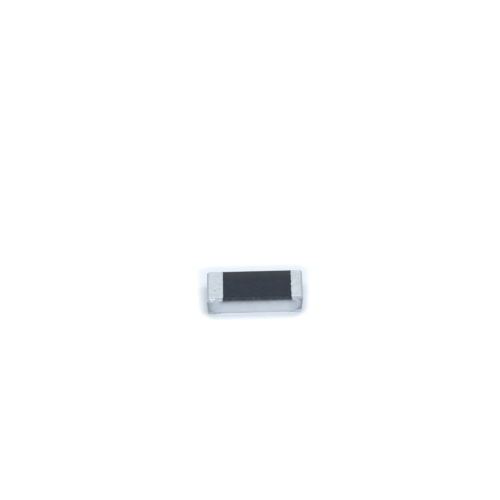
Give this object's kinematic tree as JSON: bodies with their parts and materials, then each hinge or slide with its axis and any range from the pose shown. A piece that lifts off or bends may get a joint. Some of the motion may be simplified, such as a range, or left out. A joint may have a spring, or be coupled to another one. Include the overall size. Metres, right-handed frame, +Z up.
{
  "type": "chip resistor",
  "caption": "Small rectangular thick-film resistor: a white ceramic block with a black coat on top and tin-plated terminals wrapped round both ends.",
  "frame": {"origin": "under the middle of the chip, on the plane of its two soldering faces", "axes": "+X along the chip from its left terminal to its right one, +Y across it away from the viewer, +Z up out of the coated face"},
  "size_m": [0.0032, 0.0016, 0.0006],
  "materials": {
    "alumina": "matte",
    "overcoat": "satin",
    "sealing_glass": "gloss",
    "resistive_film": "matte",
    "silver_print": "matte",
    "edge_metal": "matte",
    "nickel": "satin",
    "tin": "matte"
  },
  "bodies": {
    "root": {"ceramic_substrate": "alumina", "black_overcoat": "overcoat", "glass_undercoat": "sealing_glass", "resistor_film": "resistive_film", "top_electrode_left": "silver_print", "top_electrode_right": "silver_print", "bottom_electrode_left": "silver_print", "bottom_electrode_right": "silver_print", "edge_electrode_left": "edge_metal", "edge_electrode_right": "edge_metal", "nickel_barrier_left": "nickel", "nickel_barrier_right": "nickel", "tin_plating_left": "tin", "tin_plating_right": "tin"}
  },
  "joints": []
}
